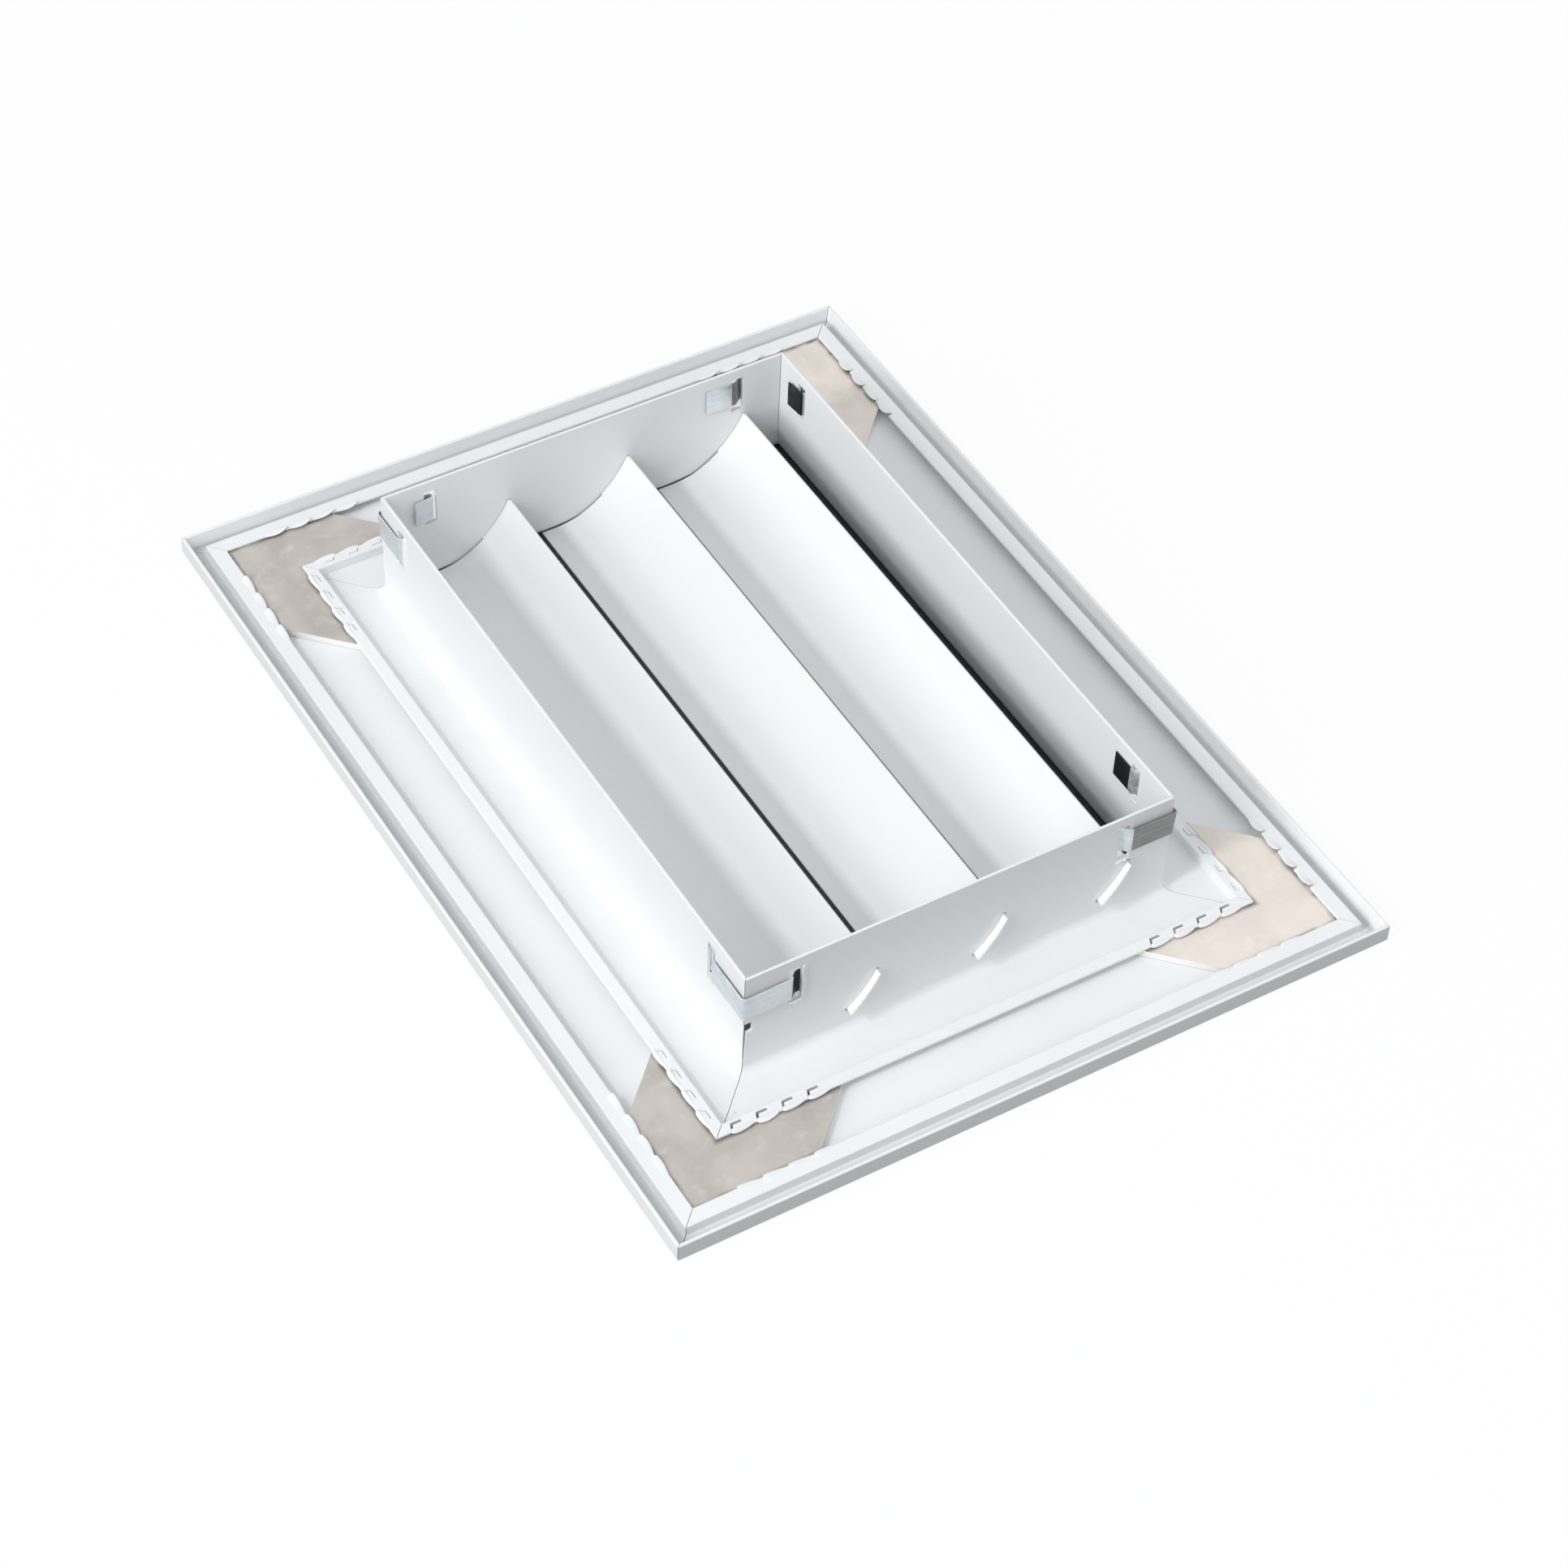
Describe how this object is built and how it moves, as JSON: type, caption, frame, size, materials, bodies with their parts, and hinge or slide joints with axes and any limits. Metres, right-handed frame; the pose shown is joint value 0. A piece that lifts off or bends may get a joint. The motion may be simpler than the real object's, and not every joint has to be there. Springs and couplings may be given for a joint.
{
  "type": "louvred air grille",
  "caption": "Rectangular one-way ceiling air grille with curved fixed blades, a mitred flanged frame, flat corner keys and a duct neck tied at its corners by metal strips.",
  "frame": {"origin": "centre of the face plane, under the middle of the neck", "axes": "+X across the short side towards the wall that the blades' upper edges lean to, +Y along the blades, +Z from the face towards the duct"},
  "size_m": [0.375, 0.5, 0.064],
  "materials": {
    "frame_paint": "white satin powder coat on aluminium extrusion",
    "blade_paint": "white satin powder coat on bent aluminium sheet",
    "key_metal": "bare mill-finish plate, beige grey",
    "strip_zinc": "galvanised strip with a faint spangle"
  },
  "bodies": {
    "root": {"frame_near": "frame_paint", "frame_right": "frame_paint", "frame_far": "frame_paint", "frame_left": "frame_paint", "key_near_left": "key_metal", "key_near_right": "key_metal", "key_far_right": "key_metal", "key_far_left": "key_metal", "strip_near_left": "strip_zinc", "strip_near_right": "strip_zinc", "strip_far_right": "strip_zinc", "strip_far_left": "strip_zinc", "blade_1": "blade_paint", "blade_2": "blade_paint", "blade_3": "blade_paint"}
  },
  "joints": []
}
